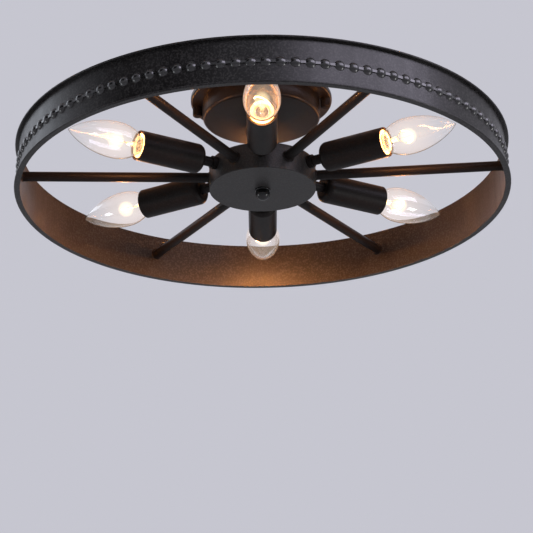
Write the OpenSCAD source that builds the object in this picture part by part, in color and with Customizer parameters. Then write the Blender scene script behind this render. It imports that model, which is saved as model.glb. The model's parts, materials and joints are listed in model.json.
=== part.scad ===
// Wheel flush mount ceiling light: a rolled and beaded rim on six welded spokes, with six bare
// candle bulbs in sleeved lampholders round a drum hub, hung on a short stem under a stepped canopy.
// Z = 0 is the ceiling plane, +Z points up, and X runs along the ceiling bar. All sizes are in mm.

/* [Rim] */
// Outer diameter of the rim over its lips
rim_d = 500; // [440:5:600]
// Height of the rim band
rim_h = 48.5; // [36:0.5:70]
// Thickness of the rolled band
rim_wall = 2; // [1.5:0.1:3]
// How far the top and bottom lips stand out from the band
rim_lip_w = 4; // [2.5:0.5:8]
// Thickness of each lip
rim_lip_h = 2; // [1:0.5:4]

/* [Bead trim] */
// Number of beads round the rim
bead_count = 112; // [60:1:120]
// Diameter of one bead
bead_d = 10.5; // [6:0.5:11]
// How far a bead stands out from the band
bead_rise = 3; // [1.5:0.25:4]
// Height of the strip that links the beads
link_h = 2.5; // [1.5:0.5:5]
// Thickness of the strip that links the beads
link_t = 1; // [0.5:0.1:1.4]
// How far the bead row lies below the middle of the band
bead_drop = 1.5; // [-6:0.5:6]

/* [Spokes] */
// Diameter of a spoke
spoke_d = 10; // [6:0.5:12]
// Distance from the top of the hub down to the inner ends of the spokes
spoke_drop = 13.5; // [9:0.5:16]
// How much higher a spoke ends at the rim than at the hub
spoke_rise = 6; // [0:0.5:10]
// Width of the weld fillets at both ends of a spoke
weld_w = 1.8; // [0.8:0.1:3]
// Turn of the wheel about the stem, measured from the ceiling bar
wheel_turn = 6; // [0:1:60]

/* [Hub] */
// Diameter of the hub drum
hub_d = 108; // [92:1:130]
// Height of the hub with its cover
hub_h = 28.5; // [25:0.5:45]
// Sheet thickness of the hub drum
hub_wall = 1.5; // [1:0.1:2]
// Radius of the rounded top edge of the hub
hub_edge_r = 3; // [2.5:0.5:6]
// Thickness of the hub cover
hub_cover_t = 1.5; // [1:0.1:3]
// Height of the cover's locating ring inside the drum
cover_ring_h = 2; // [1.5:0.5:5]

/* [Finial] */
// Diameter of the finial ball
finial_d = 14.5; // [13:0.5:24]
// Diameter of the finial's flange
finial_flange_d = 16; // [14:0.5:24]
// Thickness of the finial's flange
finial_flange_t = 1.6; // [1:0.1:3]
// Depth of the ball that is sunk into the flange
finial_sink = 4.6; // [3:0.2:5]
// Depth of the threaded bore in the finial
finial_bore_depth = 7; // [5:0.5:8]

/* [Sockets] */
// Angle that the sockets are turned past the middle between two spokes
socket_turn = 1.2; // [-3:0.2:3]
// Distance from the top of the hub down to the socket axes
socket_drop = 10.5; // [10:0.5:13]
// Diameter of a socket sleeve
sleeve_d = 30; // [28:0.5:36]
// Length of a socket sleeve
sleeve_len = 70; // [60:1:80]
// Sheet thickness of a socket sleeve
sleeve_wall = 1.2; // [0.8:0.1:1.2]
// Radius of the rounded back edge of a sleeve
sleeve_round = 6; // [3:0.5:7]
// Distance from the hub wall to the back of a sleeve
neck_gap = 17; // [12:1:22]
// Outer diameter of a neck tube
neck_d = 10; // [8:0.5:11]
// Bore of a neck tube
neck_bore = 7; // [5:0.5:7]
// Length of the collar round a neck at the hub
neck_collar_len = 5; // [3:0.5:8]
// Wall of the collar round a neck
neck_collar_wall = 1.6; // [1:0.2:3]

/* [Lampholders] */
// Diameter of the lampholder body
holder_d = 25; // [22:0.5:26.5]
// Diameter of the boss at the back of the lampholder
holder_boss_d = 16.5; // [15:0.5:17]
// Length of the boss at the back of the lampholder
holder_boss_len = 6; // [5:0.5:9]
// Wall of the brass screw shell
shell_wall = 1; // [0.6:0.1:1.4]
// Clearance all round between the screw shell and the bulb's cap
shell_clear = 0.4; // [0.3:0.05:0.6]
// Distance that the lampholder's front stands ahead of the end of the cap
holder_lip = 0.3; // [0:0.1:0.5]

/* [Bulbs] */
// Largest diameter of a bulb
bulb_d = 36.5; // [30:0.5:38]
// Length of the glass in front of the cap
bulb_glass_len = 77.5; // [60:0.5:80]
// Wall of the glass
glass_wall = 0.8; // [0.5:0.1:1]
// Outer diameter of the cap's thread
cap_d = 13.9; // [11.9:0.1:13.9]
// Length of the cap from its tip to the glass
cap_len = 25; // [23:0.5:28]
// Pitch of the cap's thread
cap_pitch = 2.82; // [2:0.01:3.6]
// Depth of the cap's end inside the mouth of the sleeve
mouth_depth = 1.5; // [1:0.5:6]
// Half the width of the filament
filament_half_w = 8; // [5:0.5:10]

/* [Stem] */
// Length of the stem between the canopy and the hub
stem_len = 50; // [40:1:200]
// Outer diameter of the stem tube
stem_d = 18; // [14:0.5:22]
// Wall of the stem tube
stem_wall = 2; // [1:0.1:2]
// Outer diameter of the threaded rod through the stem
rod_d = 10; // [8:0.5:10]
// Wire bore along the threaded rod
rod_bore = 6; // [4:0.5:6]
// Diameter of the cross hole that lets the wires into the rod inside the hub
rod_wire_hole_d = 5; // [3:0.5:6]
// Diameter of the collars at both ends of the stem
stem_collar_d = 28; // [24:0.5:32]
// Height of each stem collar
stem_collar_h = 4; // [2.5:0.5:8]
// Thickness of the hex nuts on the rod and the necks
nut_t = 4; // [3:0.5:5]
// Thickness of the washers on the rod
washer_t = 1; // [0.6:0.1:1.5]

/* [Canopy] */
// Diameter of the canopy's flange
flange_d = 145; // [138:1:170]
// Height of the flange's skirt below the ceiling
flange_h = 5; // [4.5:0.5:9]
// Diameter of the canopy's lower drum
canopy_d = 120; // [110:1:124]
// Height of the whole canopy
canopy_h = 24; // [20:0.5:50]
// Sheet thickness of the canopy
canopy_wall = 1.2; // [0.8:0.1:1.6]
// Radius of the canopy drum's rounded bottom edge
canopy_edge_r = 3; // [2:0.5:5]
// Radius of the flange's rounded edge
flange_edge_r = 2; // [1.8:0.1:3]

/* [Ceiling bar and fixings] */
// Width of the ceiling bar
bar_w = 22; // [18:0.5:26]
// Thickness of the ceiling bar
bar_t = 1.6; // [1.2:0.1:2.5]
// Distance between the centres of the two screw slots
slot_spacing = 76; // [68:1:84]
// Length of a screw slot from end to end
slot_len = 22; // [12:1:24]
// Width of a screw slot
slot_w = 5.4; // [4.2:0.1:6.5]
// Diameter of the wire hole in the middle of the bar
wire_hole_d = 10.5; // [8:0.5:14]
// Diameter of the canopy studs
stud_d = 4; // [3:0.5:5]
// Diameter of a cap nut
cap_nut_d = 10; // [8.5:0.5:11]
// Height of a cap nut
cap_nut_h = 10; // [8:0.5:14]
// Diameter of the earth screw
earth_screw_d = 4; // [3:0.5:5]
// Length of the terminal block along X
terminal_w = 30; // [26:1:36]
// Depth of the terminal block along Y
terminal_d = 15; // [12:1:18]
// Height of the terminal block
terminal_h = 11; // [10:0.5:14]

/* [Hidden] */
arm_count = 6;
fit_gap = 0.05;
cut = 1;
$fn = 96;
rim_facets = 256;

black = "#1f1d1e";
bead_black = "#2b292b";
steel = "#b9bcbf";
brass = "#c9a44c";
ivory = "#e4dcc8";
glass_tint = [0.93, 0.95, 0.96, 0.35];
tungsten = "#e8b25a";

rim_r = rim_d / 2;
band_r = rim_r - rim_lip_w;
rim_in_r = band_r - rim_wall;
hub_r = hub_d / 2;
hub_in_r = hub_r - hub_wall;
rod_r = rod_d / 2;
neck_r = neck_d / 2;
spoke_r = spoke_d / 2;
sleeve_r = sleeve_d / 2;
stem_r = stem_d / 2;
flange_r = flange_d / 2;
canopy_r = canopy_d / 2;
stud_r = stud_d / 2;

canopy_z = -canopy_h;
canopy_floor_z = canopy_z + canopy_wall;
hub_top_z = canopy_z - stem_len;
hub_roof_z = hub_top_z - hub_wall;
hub_bottom_z = hub_top_z - hub_h;
hub_wall_bottom_z = hub_bottom_z + hub_cover_t;
socket_z = hub_top_z - socket_drop;
spoke_z = hub_top_z - spoke_drop;
rim_bottom_z = socket_z - rim_h / 2;
bead_z = socket_z - bead_drop;

bead_ball_r = (bead_d * bead_d / 4 + bead_rise * bead_rise) / (2 * bead_rise);

spoke_run = rim_in_r - hub_r;
spoke_stub = 1.5;
spoke_tilt = atan(spoke_rise / spoke_run);
spoke_inset = hub_wall + spoke_stub;
spoke_len = spoke_run / cos(spoke_tilt);

sleeve_back = hub_r + neck_gap;
sleeve_mouth = sleeve_back + sleeve_len;
holder_back = sleeve_back + sleeve_wall + fit_gap;
holder_body_back = holder_back + holder_boss_len;
neck_nut_rim = 2;
neck_nut_af = neck_d + 2 * neck_nut_rim;
neck_nut_corner = neck_nut_af / 2 / cos(30);
neck_nut_face = sqrt(hub_in_r * hub_in_r - neck_nut_corner * neck_nut_corner) - fit_gap;
neck_end_margin = 2;
neck_back = neck_nut_face - nut_t - neck_end_margin;
neck_front = holder_back + holder_boss_len;

cap_front = sleeve_mouth - mouth_depth;
cap_tip = cap_front - cap_len;
cap_r = cap_d / 2;
cap_groove = 0.5;
cap_sheet = 0.5;
cap_plain_len = 4;
insulator_len = 3;
tip_r = 3.2;
tip_len = 1;
thread_back = cap_tip + tip_len + insulator_len;
thread_front = cap_front - cap_plain_len;
shell_in_r = cap_r + shell_clear;
shell_out_r = shell_in_r + shell_wall;
holder_front = cap_front + holder_lip;
contact_h = 4;
holder_floor = cap_tip - contact_h;
wire_hole_r = 3;
holder_web = 2;
ridge_h = 0.5;

bulb_r = bulb_d / 2;
glass_seat_len = cap_plain_len;
glass_neck_r = cap_r - cap_groove - cap_sheet / 2 - fit_gap;
glass_start_r = cap_r + 0.2;
belly_at = 0.335;
flare_power = 0.65;
tip_power = 2;
tip_bluntness = 0.84;
flare_steps = 10;
ogive_steps = 14;
stem_press_at = 14;
glass_stem_r = 2.2;
press_w = 6;
press_t = 2;
press_len = 4;
lead_run = 8;
lead_r = 0.35;
lead_root = 1.8;
coil_r = 0.5;
filament_turn = 65;

thread_over = 3;
bore_end_gap = 1;
rod_top_z = canopy_floor_z + washer_t + nut_t + thread_over;
rod_bottom_z = hub_bottom_z - finial_bore_depth + bore_end_gap;
rod_nut_rim = 3;
rod_nut_af = rod_d + 2 * rod_nut_rim;
finial_ball_z = hub_bottom_z - finial_flange_t - finial_d / 2 + finial_sink;

stud_x = (canopy_r + flange_r) / 2;
cap_nut_end_t = 3;
cap_nut_round = 0.4;
stud_bottom_z = -flange_h - cap_nut_h + cap_nut_end_t;
stud_clear = 0.3;
ring_clear = 0.3;
groove_start = 0.3;
glass_shoulder_h = 0.3;
knurl_base_h = 1;
contact_inset = 0.4;
contact_gap = 0.3;
nut_roof_t = 2;
nut_bore_h = cap_nut_h - nut_roof_t;
knurl_count = 18;
knurl_r = 0.45;
collar_h = 1;
bar_clear = 1.3;
bar_half = flange_r - canopy_wall - bar_clear;
earth_x = (wire_hole_d / 2 + (slot_spacing - slot_len) / 2) / 2;
terminal_y = -(canopy_r - canopy_wall) / 2;
pole_count = 3;
pole_pitch = terminal_w / pole_count;
pole_bore_r = 2.4;
insert_wall = 0.7;
pole_axis_h = 4;
pole_screw_r = 1.5;

// Angles of the spokes and of the sockets between them
function spoke_angle(i) = wheel_turn + (i - 1) * 360 / arm_count;
function socket_angle(i) = spoke_angle(i) + 180 / arm_count + socket_turn;

// Outline of a candle bulb: a flare from the neck to the belly, then an ogive to the tip
function flare_point(k, r0, r1, len) =
    let (t = pow(k / flare_steps, 2)) [r0 + (r1 - r0) * pow(sin(90 * t), flare_power), belly_at * len * t];
function ogive_point(k, r1, len) =
    let (t = k / ogive_steps)
    [r1 * pow(1 - pow(t, tip_power), tip_bluntness), len * (belly_at + (1 - belly_at) * t)];
function bulb_outline(r0, r1, len) = concat(
    [for (k = [0:flare_steps]) flare_point(k, r0, r1, len)],
    [for (k = [1:ogive_steps]) ogive_point(k, r1, len)]
);

// Places a shape drawn along Z on a socket's axis, where Z is the distance from the stem
module on_socket_axis(i) {
    rotate([0, 0, socket_angle(i)]) translate([0, 0, socket_z]) rotate([0, 90, 0]) children();
}

// Places a shape drawn along Z on a spoke's axis, where Z = 0 is the face of the hub
module on_spoke_axis(i) {
    rotate([0, 0, spoke_angle(i)])
        translate([hub_r, 0, spoke_z])
            rotate([0, 90 - spoke_tilt, 0])
                children();
}

// Tube or ring along Z
module ring(r_out, r_in, h) {
    difference() {
        cylinder(r = r_out, h = h);
        translate([0, 0, -cut]) cylinder(r = r_in, h = h + 2 * cut);
    }
}

// Hexagon nut along Z
module hex_nut(flats, bore_r, h) {
    difference() {
        rotate([0, 0, 30]) cylinder(r = flats / 2 / cos(30), h = h, $fn = 6);
        translate([0, 0, -cut]) cylinder(r = bore_r, h = h + 2 * cut);
    }
}

// Half section of a disc of radius r and height h whose outer top edge is rounded
module rounded_half(r, h, edge) {
    square([r - edge, h]);
    square([r, h - edge]);
    translate([r - edge, h - edge]) circle(r = edge);
}

// Half section of a concave weld fillet round a rod, with its foot at y = 0
module fillet_half(r, w) {
    difference() {
        translate([r - w / 2, -w]) square([w * 1.5, 2 * w]);
        translate([r + w, w]) circle(r = w);
    }
}

// Outline of a screw slot with round ends
module slot() {
    reach = slot_len - slot_w;
    square([reach, slot_w], center = true);
    for (e = [-1, 1]) translate([e * reach / 2, 0]) circle(d = slot_w);
}

module ceiling_bar() {
    color(steel)
        translate([0, 0, -bar_t])
            linear_extrude(height = bar_t)
                difference() {
                    union() {
                        square([2 * bar_half - bar_w, bar_w], center = true);
                        for (s = [-1, 1]) translate([s * (bar_half - bar_w / 2), 0]) circle(d = bar_w);
                    }
                    for (s = [-1, 1]) {
                        translate([s * slot_spacing / 2, 0]) slot();
                        translate([s * stud_x, 0]) circle(r = stud_r + fit_gap);
                    }
                    circle(d = wire_hole_d);
                    translate([earth_x, 0]) circle(d = earth_screw_d + 2 * fit_gap);
                }
}

// Pan head screw under the bar, with a cup washer under its head
module earth_screw() {
    head_r = earth_screw_d * 0.9;
    head_h = earth_screw_d * 0.6;
    cup_r = head_r + 0.6;
    cup_h = 0.8;
    color(brass)
        translate([earth_x, 0, -bar_t]) {
            cylinder(d = earth_screw_d, h = bar_t);
            translate([0, 0, -cup_h]) cylinder(r = cup_r, h = cup_h);
            difference() {
                translate([0, 0, -cup_h - head_h]) cylinder(r = head_r, h = head_h);
                translate([-head_r - cut, -0.5, -cup_h - head_h - cut])
                    cube([2 * (head_r + cut), 1, cut + head_h / 2]);
            }
        }
}

// Two clinch studs that hang from the bar through the canopy's flange
module canopy_studs() {
    color(steel)
        for (s = [-1, 1]) translate([s * stud_x, 0, 0]) {
            translate([0, 0, stud_bottom_z]) cylinder(r = stud_r, h = -stud_bottom_z);
            translate([0, 0, -bar_t - collar_h]) cylinder(r = stud_r + 1.2, h = collar_h);
        }
}

// Stepped sheet canopy: a skirted flange at the ceiling and a deeper drum below it
module canopy() {
    drum_in_r = canopy_r - canopy_wall;
    skirt_in_r = flange_r - canopy_wall;
    color(black)
        difference() {
            mirror([0, 0, 1]) rotate_extrude() difference() {
                union() {
                    rounded_half(canopy_r, canopy_h, canopy_edge_r);
                    rounded_half(flange_r, flange_h, flange_edge_r);
                }
                translate([0, -cut]) {
                    rounded_half(drum_in_r, canopy_h - canopy_wall + cut, canopy_edge_r - canopy_wall);
                    rounded_half(skirt_in_r, flange_h - canopy_wall + cut, flange_edge_r - canopy_wall);
                }
            }
            translate([0, 0, canopy_z - cut]) cylinder(r = rod_r + fit_gap, h = canopy_wall + 2 * cut);
            for (s = [-1, 1])
                translate([s * stud_x, 0, -flange_h - cut])
                    cylinder(r = stud_r + stud_clear, h = canopy_wall + 2 * cut);
        }
}

// Knurled cap nut with a domed end and a blind bore, under the flange
module cap_nut(side) {
    nut_r = cap_nut_d / 2;
    translate([side * stud_x, 0, -flange_h - fit_gap])
        mirror([0, 0, 1])
            difference() {
                rotate_extrude() rounded_half(nut_r, cap_nut_h, nut_r * cap_nut_round);
                translate([0, 0, -cut]) cylinder(r = stud_r + fit_gap, h = nut_bore_h + cut);
                for (k = [0:knurl_count - 1])
                    rotate([0, 0, k * 360 / knurl_count])
                        translate([nut_r + knurl_r / 3, 0, knurl_base_h])
                            cylinder(r = knurl_r, h = cap_nut_h, $fn = 16);
            }
}

module cap_nut_left() {
    color(black) cap_nut(-1);
}

module cap_nut_right() {
    color(black) cap_nut(1);
}

// Position of each pole of the terminal block along X
function pole_x(k) = (k - (pole_count - 1) / 2) * pole_pitch;

module terminal_block() {
    groove_w = 1;
    groove_h = 3;
    color(ivory)
        translate([0, terminal_y, canopy_floor_z])
            difference() {
                translate([-terminal_w / 2, -terminal_d / 2, 0]) cube([terminal_w, terminal_d, terminal_h]);
                for (k = [0:pole_count - 1]) translate([pole_x(k), 0, 0]) {
                    translate([0, 0, pole_axis_h]) rotate([90, 0, 0])
                        cylinder(r = pole_bore_r, h = terminal_d + 2 * cut, center = true);
                    translate([0, 0, pole_axis_h]) cylinder(r = pole_screw_r + 0.6, h = terminal_h);
                }
                for (k = [0:pole_count - 2])
                    translate([pole_x(k + 0.5), 0, terminal_h])
                        cube([groove_w, terminal_d + 2 * cut, 2 * groove_h], center = true);
            }
}

// Brass tube and clamp screw in each pole of the terminal block
module terminal_inserts() {
    insert_r = pole_bore_r - fit_gap;
    insert_len = terminal_d - 2;
    color(brass)
        translate([0, terminal_y, canopy_floor_z + pole_axis_h])
            for (k = [0:pole_count - 1]) translate([pole_x(k), 0, 0]) {
                rotate([90, 0, 0]) translate([0, 0, -insert_len / 2])
                    ring(insert_r, insert_r - insert_wall, insert_len);
                translate([0, 0, insert_r - insert_wall / 2])
                    cylinder(r = pole_screw_r, h = terminal_h - pole_axis_h - insert_r - 1);
            }
}

// Hollow threaded rod that clamps canopy, stem, hub and cover together
module threaded_rod() {
    nut_bottom_z = hub_roof_z - washer_t - nut_t;
    color(steel)
        difference() {
            translate([0, 0, rod_bottom_z]) ring(rod_r, rod_bore / 2, rod_top_z - rod_bottom_z);
            translate([0, 0, (nut_bottom_z + hub_wall_bottom_z) / 2]) rotate([0, 90, 0])
                cylinder(d = rod_wire_hole_d, h = 2 * rod_d, center = true);
        }
}

module rod_washers() {
    washer_rim = 1.5;
    washer_r = rod_nut_af / 2 + washer_rim;
    color(steel) {
        translate([0, 0, canopy_floor_z]) ring(washer_r, rod_r + fit_gap, washer_t);
        translate([0, 0, hub_roof_z - washer_t]) ring(washer_r, rod_r + fit_gap, washer_t);
    }
}

module rod_nuts() {
    color(steel) {
        translate([0, 0, canopy_floor_z + washer_t]) hex_nut(rod_nut_af, rod_r + fit_gap, nut_t);
        translate([0, 0, hub_roof_z - washer_t - nut_t]) hex_nut(rod_nut_af, rod_r + fit_gap, nut_t);
    }
}

module stem_tube() {
    color(black)
        translate([0, 0, hub_top_z]) ring(stem_r, stem_r - stem_wall, stem_len);
}

// Turned collar whose free edge is rounded, drawn with its foot at z = 0
module stem_collar() {
    edge = min(stem_collar_h, stem_collar_d / 2 - stem_r) / 2;
    difference() {
        rotate_extrude() rounded_half(stem_collar_d / 2, stem_collar_h, edge);
        translate([0, 0, -cut]) cylinder(r = stem_r + fit_gap, h = stem_collar_h + 2 * cut);
    }
}

module stem_collar_upper() {
    color(black) translate([0, 0, canopy_z]) mirror([0, 0, 1]) stem_collar();
}

module stem_collar_lower() {
    color(black) translate([0, 0, hub_top_z]) stem_collar();
}

// Drawn drum, open below, with holes for the rod, the necks and the spokes
module hub_body() {
    drum_h = hub_top_z - hub_wall_bottom_z;
    hole_reach = 2;
    color(black)
        difference() {
            translate([0, 0, hub_wall_bottom_z])
                rotate_extrude() difference() {
                    rounded_half(hub_r, drum_h, hub_edge_r);
                    translate([0, -cut])
                        rounded_half(hub_in_r, drum_h - hub_wall + cut, hub_edge_r - hub_wall);
                }
            translate([0, 0, hub_roof_z - cut]) cylinder(r = rod_r + fit_gap, h = hub_wall + 2 * cut);
            for (i = [1:arm_count]) {
                on_socket_axis(i) translate([0, 0, hub_in_r - hole_reach])
                    cylinder(r = neck_r + fit_gap, h = hub_wall + 2 * hole_reach);
                on_spoke_axis(i) translate([0, 0, -hub_wall - hole_reach])
                    cylinder(r = spoke_r + fit_gap, h = hub_wall + 2 * hole_reach);
            }
        }
}

// Flat cover with a rounded edge and a locating ring that fits inside the drum
module hub_cover() {
    ring_r = hub_in_r - ring_clear;
    color(black)
        difference() {
            union() {
                translate([0, 0, hub_wall_bottom_z]) mirror([0, 0, 1])
                    rotate_extrude() rounded_half(hub_r, hub_cover_t, hub_cover_t / 2);
                translate([0, 0, hub_wall_bottom_z - hub_cover_t / 2])
                    ring(ring_r, ring_r - hub_wall, cover_ring_h + hub_cover_t / 2);
            }
            translate([0, 0, hub_bottom_z - cut]) cylinder(r = rod_r + fit_gap, h = hub_cover_t + 2 * cut);
        }
}

// Ball nut with a flange, screwed on the lower end of the rod
module finial_nut() {
    ball_r = finial_d / 2;
    flange_z = hub_bottom_z - fit_gap;
    color(black)
        difference() {
            union() {
                translate([0, 0, flange_z]) mirror([0, 0, 1]) rotate_extrude()
                    rounded_half(finial_flange_d / 2, finial_flange_t, finial_flange_t / 2);
                translate([0, 0, finial_ball_z]) sphere(r = ball_r);
            }
            translate([0, 0, flange_z]) cylinder(r = finial_d + finial_flange_d, h = finial_d);
            translate([0, 0, flange_z - finial_bore_depth])
                cylinder(r = rod_r + fit_gap, h = finial_bore_depth + cut);
        }
}

// Rolled band with a lip turned out at the top and at the bottom
module rim_band() {
    lip_edge = rim_lip_h / 2;
    lip_len = rim_r - rim_in_r - lip_edge;
    color(black)
        translate([0, 0, rim_bottom_z])
            rotate_extrude() translate([rim_in_r, 0]) {
                square([rim_wall, rim_h]);
                for (y = [0, rim_h - rim_lip_h]) {
                    translate([0, y]) square([lip_len, rim_lip_h]);
                    translate([lip_len, y + lip_edge]) circle(r = lip_edge);
                }
            }
}

// Row of domed beads on a thin link strip, round the outside of the band
module bead_trim() {
    color(bead_black)
        difference() {
            union() {
                translate([0, 0, bead_z - link_h / 2]) cylinder(r = band_r + link_t, h = link_h);
                for (k = [0:bead_count - 1])
                    rotate([0, 0, (k + 0.5) * 360 / bead_count])
                        translate([band_r + bead_rise - bead_ball_r, 0, bead_z])
                            sphere(r = bead_ball_r, $fn = 32);
            }
            translate([0, 0, bead_z - 2 * bead_ball_r])
                cylinder(r = band_r + fit_gap, h = 4 * bead_ball_r, $fn = rim_facets);
        }
}

module socket_necks() {
    color(black)
        for (i = [1:arm_count])
            on_socket_axis(i) translate([0, 0, neck_back])
                ring(neck_r, neck_bore / 2, neck_front - neck_back);
}

module neck_nuts() {
    color(steel)
        for (i = [1:arm_count])
            on_socket_axis(i) translate([0, 0, neck_nut_face - nut_t])
                hex_nut(neck_nut_af, neck_r + fit_gap, nut_t);
}

// Collars whose inner ends are shaped to the curve of the hub
module neck_collars() {
    color(black)
        difference() {
            for (i = [1:arm_count])
                on_socket_axis(i) translate([0, 0, hub_in_r])
                    ring(neck_r + neck_collar_wall, neck_r + fit_gap, neck_collar_len + hub_wall);
            translate([0, 0, hub_bottom_z]) cylinder(r = hub_r + fit_gap, h = hub_h);
        }
}

// Ridged brass shells and centre contacts of the lampholders
module holder_shells() {
    shell_len = thread_front - thread_back;
    ridge_count = floor(shell_len / cap_pitch) - 1;
    ridge_w = 1.2;
    color(brass)
        for (i = [1:arm_count]) on_socket_axis(i) {
            translate([0, 0, thread_back]) {
                ring(shell_out_r, shell_in_r, shell_len - fit_gap);
                for (k = [1:ridge_count])
                    translate([0, 0, k * cap_pitch - ridge_w / 2])
                        ring(shell_out_r + ridge_h, shell_out_r - cut / 2, ridge_w);
            }
            translate([0, 0, holder_floor]) cylinder(r = tip_r - contact_inset, h = contact_h - contact_gap);
        }
}

// Solid round rod, let into the hub wall and cut to the curve of the rim, with its two welds
module spoke(i) {
    rim_reach = 4;
    color(black)
        intersection() {
            union() {
                on_spoke_axis(i) translate([0, 0, -spoke_inset])
                    cylinder(r = spoke_r, h = spoke_len + spoke_inset + rim_reach);
                difference() {
                    on_spoke_axis(i) rotate_extrude() fillet_half(spoke_r, weld_w);
                    translate([0, 0, hub_bottom_z]) cylinder(r = hub_r + fit_gap, h = hub_h);
                }
                on_spoke_axis(i) translate([0, 0, spoke_len]) mirror([0, 0, 1])
                    rotate_extrude() fillet_half(spoke_r, weld_w);
            }
            translate([0, 0, rim_bottom_z]) cylinder(r = rim_in_r - fit_gap, h = rim_h, $fn = rim_facets);
        }
}

// Drawn sleeve over a lampholder, with a rounded back and an open mouth
module socket_sleeve(i) {
    sleeve_in_r = sleeve_r - sleeve_wall;
    sleeve_in_h = sleeve_len - sleeve_wall;
    color(black)
        on_socket_axis(i) translate([0, 0, sleeve_mouth]) mirror([0, 0, 1])
            difference() {
                rotate_extrude() difference() {
                    rounded_half(sleeve_r, sleeve_len, sleeve_round);
                    translate([0, -cut])
                        rounded_half(sleeve_in_r, sleeve_in_h + cut, sleeve_round - sleeve_wall);
                }
                translate([0, 0, sleeve_in_h - cut])
                    cylinder(r = neck_r + fit_gap, h = sleeve_wall + 2 * cut);
            }
}

// Insulating lampholder body: a threaded boss on the neck and a deep well for the screw shell
module lampholder(i) {
    body_len = holder_front - holder_body_back;
    wire_hole_len = holder_floor - holder_back - holder_web;
    color(ivory)
        on_socket_axis(i) difference() {
            union() {
                translate([0, 0, holder_back]) cylinder(d = holder_boss_d, h = holder_boss_len + cut);
                translate([0, 0, holder_body_back]) cylinder(d = holder_d, h = body_len);
            }
            translate([0, 0, holder_back - cut])
                cylinder(r = neck_r + fit_gap, h = neck_front - holder_back + cut);
            translate([0, 0, holder_back]) cylinder(r = wire_hole_r, h = wire_hole_len);
            translate([0, 0, holder_floor]) cylinder(r = shell_out_r + ridge_h + fit_gap, h = holder_front);
        }
}

// Half section of one turn of a thread, with its foot at y = 0
module thread_half(root, crest, pitch) {
    width = 0.7 * pitch;
    flank = 0.25 * pitch;
    polygon([[0, 0], [root, 0], [crest, flank], [crest, width - flank], [root, width], [0, width]]);
}

// Screw cap of a bulb: tip contact, insulator, ridged shell and a plain end round the glass
module bulb_cap(i) {
    root_r = cap_r - cap_groove;
    groove_count = floor((thread_front - thread_back) / cap_pitch);
    color(steel)
        on_socket_axis(i) difference() {
            union() {
                translate([0, 0, cap_tip]) cylinder(r = tip_r, h = tip_len);
                translate([0, 0, cap_tip + tip_len]) cylinder(r1 = tip_r, r2 = root_r, h = insulator_len);
                translate([0, 0, thread_back]) cylinder(r = root_r, h = cap_front - thread_back);
                for (k = [0:groove_count - 1])
                    translate([0, 0, thread_back + (k + groove_start) * cap_pitch]) rotate_extrude()
                        thread_half(root_r, cap_r, cap_pitch);
                translate([0, 0, thread_front]) cylinder(r = cap_r, h = cap_plain_len);
            }
            translate([0, 0, thread_back]) cylinder(r = root_r - cap_sheet, h = cap_len);
            translate([0, 0, thread_front]) cylinder(r = glass_neck_r + fit_gap, h = cap_len);
        }
}

// Clear envelope with its neck in the cap, closed by the flare and the pressed stem inside
module bulb_glass(i) {
    neck_in_r = glass_neck_r - glass_wall;
    inside_len = bulb_glass_len - 2 * glass_wall;
    inside = bulb_outline(glass_start_r - glass_wall, bulb_r - glass_wall, inside_len);
    color(glass_tint)
        on_socket_axis(i) translate([0, 0, cap_front]) {
            translate([0, 0, fit_gap]) rotate_extrude() difference() {
                polygon(concat([[0, 0]], bulb_outline(glass_start_r, bulb_r, bulb_glass_len)));
                translate([0, glass_wall]) polygon(concat([[0, 0]], inside));
                square([neck_in_r, 2 * glass_wall]);
            }
            translate([0, 0, fit_gap - glass_seat_len]) {
                ring(glass_neck_r, neck_in_r, glass_seat_len + glass_shoulder_h);
                cylinder(r = glass_neck_r, h = glass_wall);
                cylinder(r = glass_stem_r, h = glass_seat_len + stem_press_at - press_len);
            }
            rotate([0, 0, filament_turn]) translate([-press_w / 2, -press_t / 2, stem_press_at - press_len])
                cube([press_w, press_t, press_len]);
        }
}

// Two lead wires from the stem press and the coiled filament that arches between them
module filament(i) {
    lead_lean = atan((filament_half_w - lead_root) / lead_run);
    lead_len = lead_run / cos(lead_lean);
    coil_top = stem_press_at + lead_run;
    color(tungsten)
        on_socket_axis(i) translate([0, 0, cap_front]) rotate([0, 0, filament_turn]) {
            for (s = [-1, 1])
                translate([s * lead_root, 0, stem_press_at + fit_gap]) rotate([0, s * lead_lean, 0])
                    cylinder(r = lead_r, h = lead_len, $fn = 16);
            translate([0, 0, coil_top]) rotate([90, 0, 0])
                rotate_extrude(angle = 180) translate([filament_half_w, 0]) circle(r = coil_r, $fn = 16);
        }
}

ceiling_bar();
earth_screw();
canopy_studs();
canopy();
cap_nut_left();
cap_nut_right();
terminal_block();
terminal_inserts();
threaded_rod();
rod_washers();
rod_nuts();
stem_tube();
stem_collar_upper();
stem_collar_lower();
hub_body();
hub_cover();
finial_nut();
rim_band();
bead_trim();
socket_necks();
neck_nuts();
neck_collars();
holder_shells();
for (i = [1:arm_count]) {
    spoke(i);
    socket_sleeve(i);
    lampholder(i);
    bulb_cap(i);
    bulb_glass(i);
    filament(i);
}
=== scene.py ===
"""Dresses the wheel flush mount ceiling light: its finishes, and its candle bulbs in fine detail."""

import json
import logging
import math
from collections.abc import Callable, Sequence
from dataclasses import dataclass, field
from enum import Enum

import bpy
from mathutils import Matrix, Vector


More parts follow.
